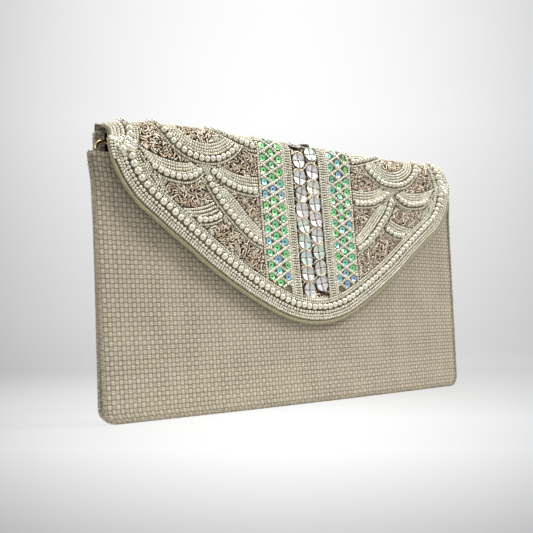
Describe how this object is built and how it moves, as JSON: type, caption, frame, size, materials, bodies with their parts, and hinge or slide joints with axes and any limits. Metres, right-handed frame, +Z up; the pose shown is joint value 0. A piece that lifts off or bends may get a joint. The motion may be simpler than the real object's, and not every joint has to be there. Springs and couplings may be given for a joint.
{
  "type": "envelope clutch purse",
  "caption": "Slim envelope clutch: woven pouch with gussets, beaded and sequinned flap on a soft hinge, magnetic snap, two D-rings for a chain.",
  "frame": {"origin": "centre of the flat base that the purse stands on", "axes": "+X to the wearer's right along the width, +Y to the back, +Z up; the flap and the front face -Y"},
  "size_m": [0.254, 0.0239, 0.1557],
  "materials": {
    "woven_cover": "matte",
    "stiffener": "matte",
    "dark_lining": "satin",
    "flap_ground": "matte",
    "satin_piping": "satin",
    "pearl": "satin",
    "seed_bead": "gloss",
    "bullion": "satin",
    "white_sequin": "gloss",
    "green_spangle": "gloss",
    "gold_metal": "polished",
    "snap_steel": "satin"
  },
  "bodies": {
    "back": {"back_cover": "woven_cover", "back_board": "stiffener", "back_lining": "dark_lining", "base_strip": "woven_cover", "inner_slip_pocket": "dark_lining", "left_gusset": "woven_cover", "right_gusset": "woven_cover", "flap_hinge_strip": "dark_lining", "left_ring_tab": "woven_cover", "right_ring_tab": "woven_cover"},
    "front": {"front_cover": "woven_cover", "front_board": "stiffener", "front_lining": "dark_lining", "front_mouth_hem": "woven_cover", "snap_socket": "gold_metal", "snap_magnet": "snap_steel", "snap_socket_washer": "snap_steel"},
    "flap": {"flap_base": "flap_ground", "flap_board": "stiffener", "flap_lining": "dark_lining", "flap_piping": "satin_piping", "snap_stud": "gold_metal", "snap_stud_washer": "snap_steel", "border_pearls": "pearl", "border_seed_rows": "seed_bead", "scale_pearls": "pearl", "scale_seed_rows": "seed_bead", "bullion_fill": "bullion", "centre_sequins": "white_sequin", "centre_bullion_loops": "bullion", "lattice_sequins": "green_spangle", "lattice_cords": "seed_bead", "divider_bead_rows": "seed_bead"},
    "left_ring": {"left_d_ring": "gold_metal"},
    "right_ring": {"right_d_ring": "gold_metal"}
  },
  "joints": [
    {"name": "flap_hinge", "type": "hinge", "parent": "back", "child": "flap", "pos_m": [0, 0.005, 0.1514], "axis": [-1, 0, 0], "range_deg": [0, 180]},
    {"name": "mouth_flex", "type": "hinge", "parent": "back", "child": "front", "pos_m": [0, -0.0065, 0.0012], "axis": [1, 0, 0], "range_deg": [0, 4.5], "deforming": ["left_gusset", "right_gusset"]},
    {"name": "left_ring_swing", "type": "hinge", "parent": "back", "child": "left_ring", "pos_m": [-0.1194, 0.00095, 0.1366], "axis": [1, 0, 0], "range_deg": [0, 50]},
    {"name": "right_ring_swing", "type": "hinge", "parent": "back", "child": "right_ring", "pos_m": [0.1194, 0.00095, 0.1366], "axis": [1, 0, 0], "range_deg": [0, 50]}
  ],
  "couplings": [
    {"joint": "mouth_flex", "follows": "flap_hinge", "ratio": 0.025}
  ]
}
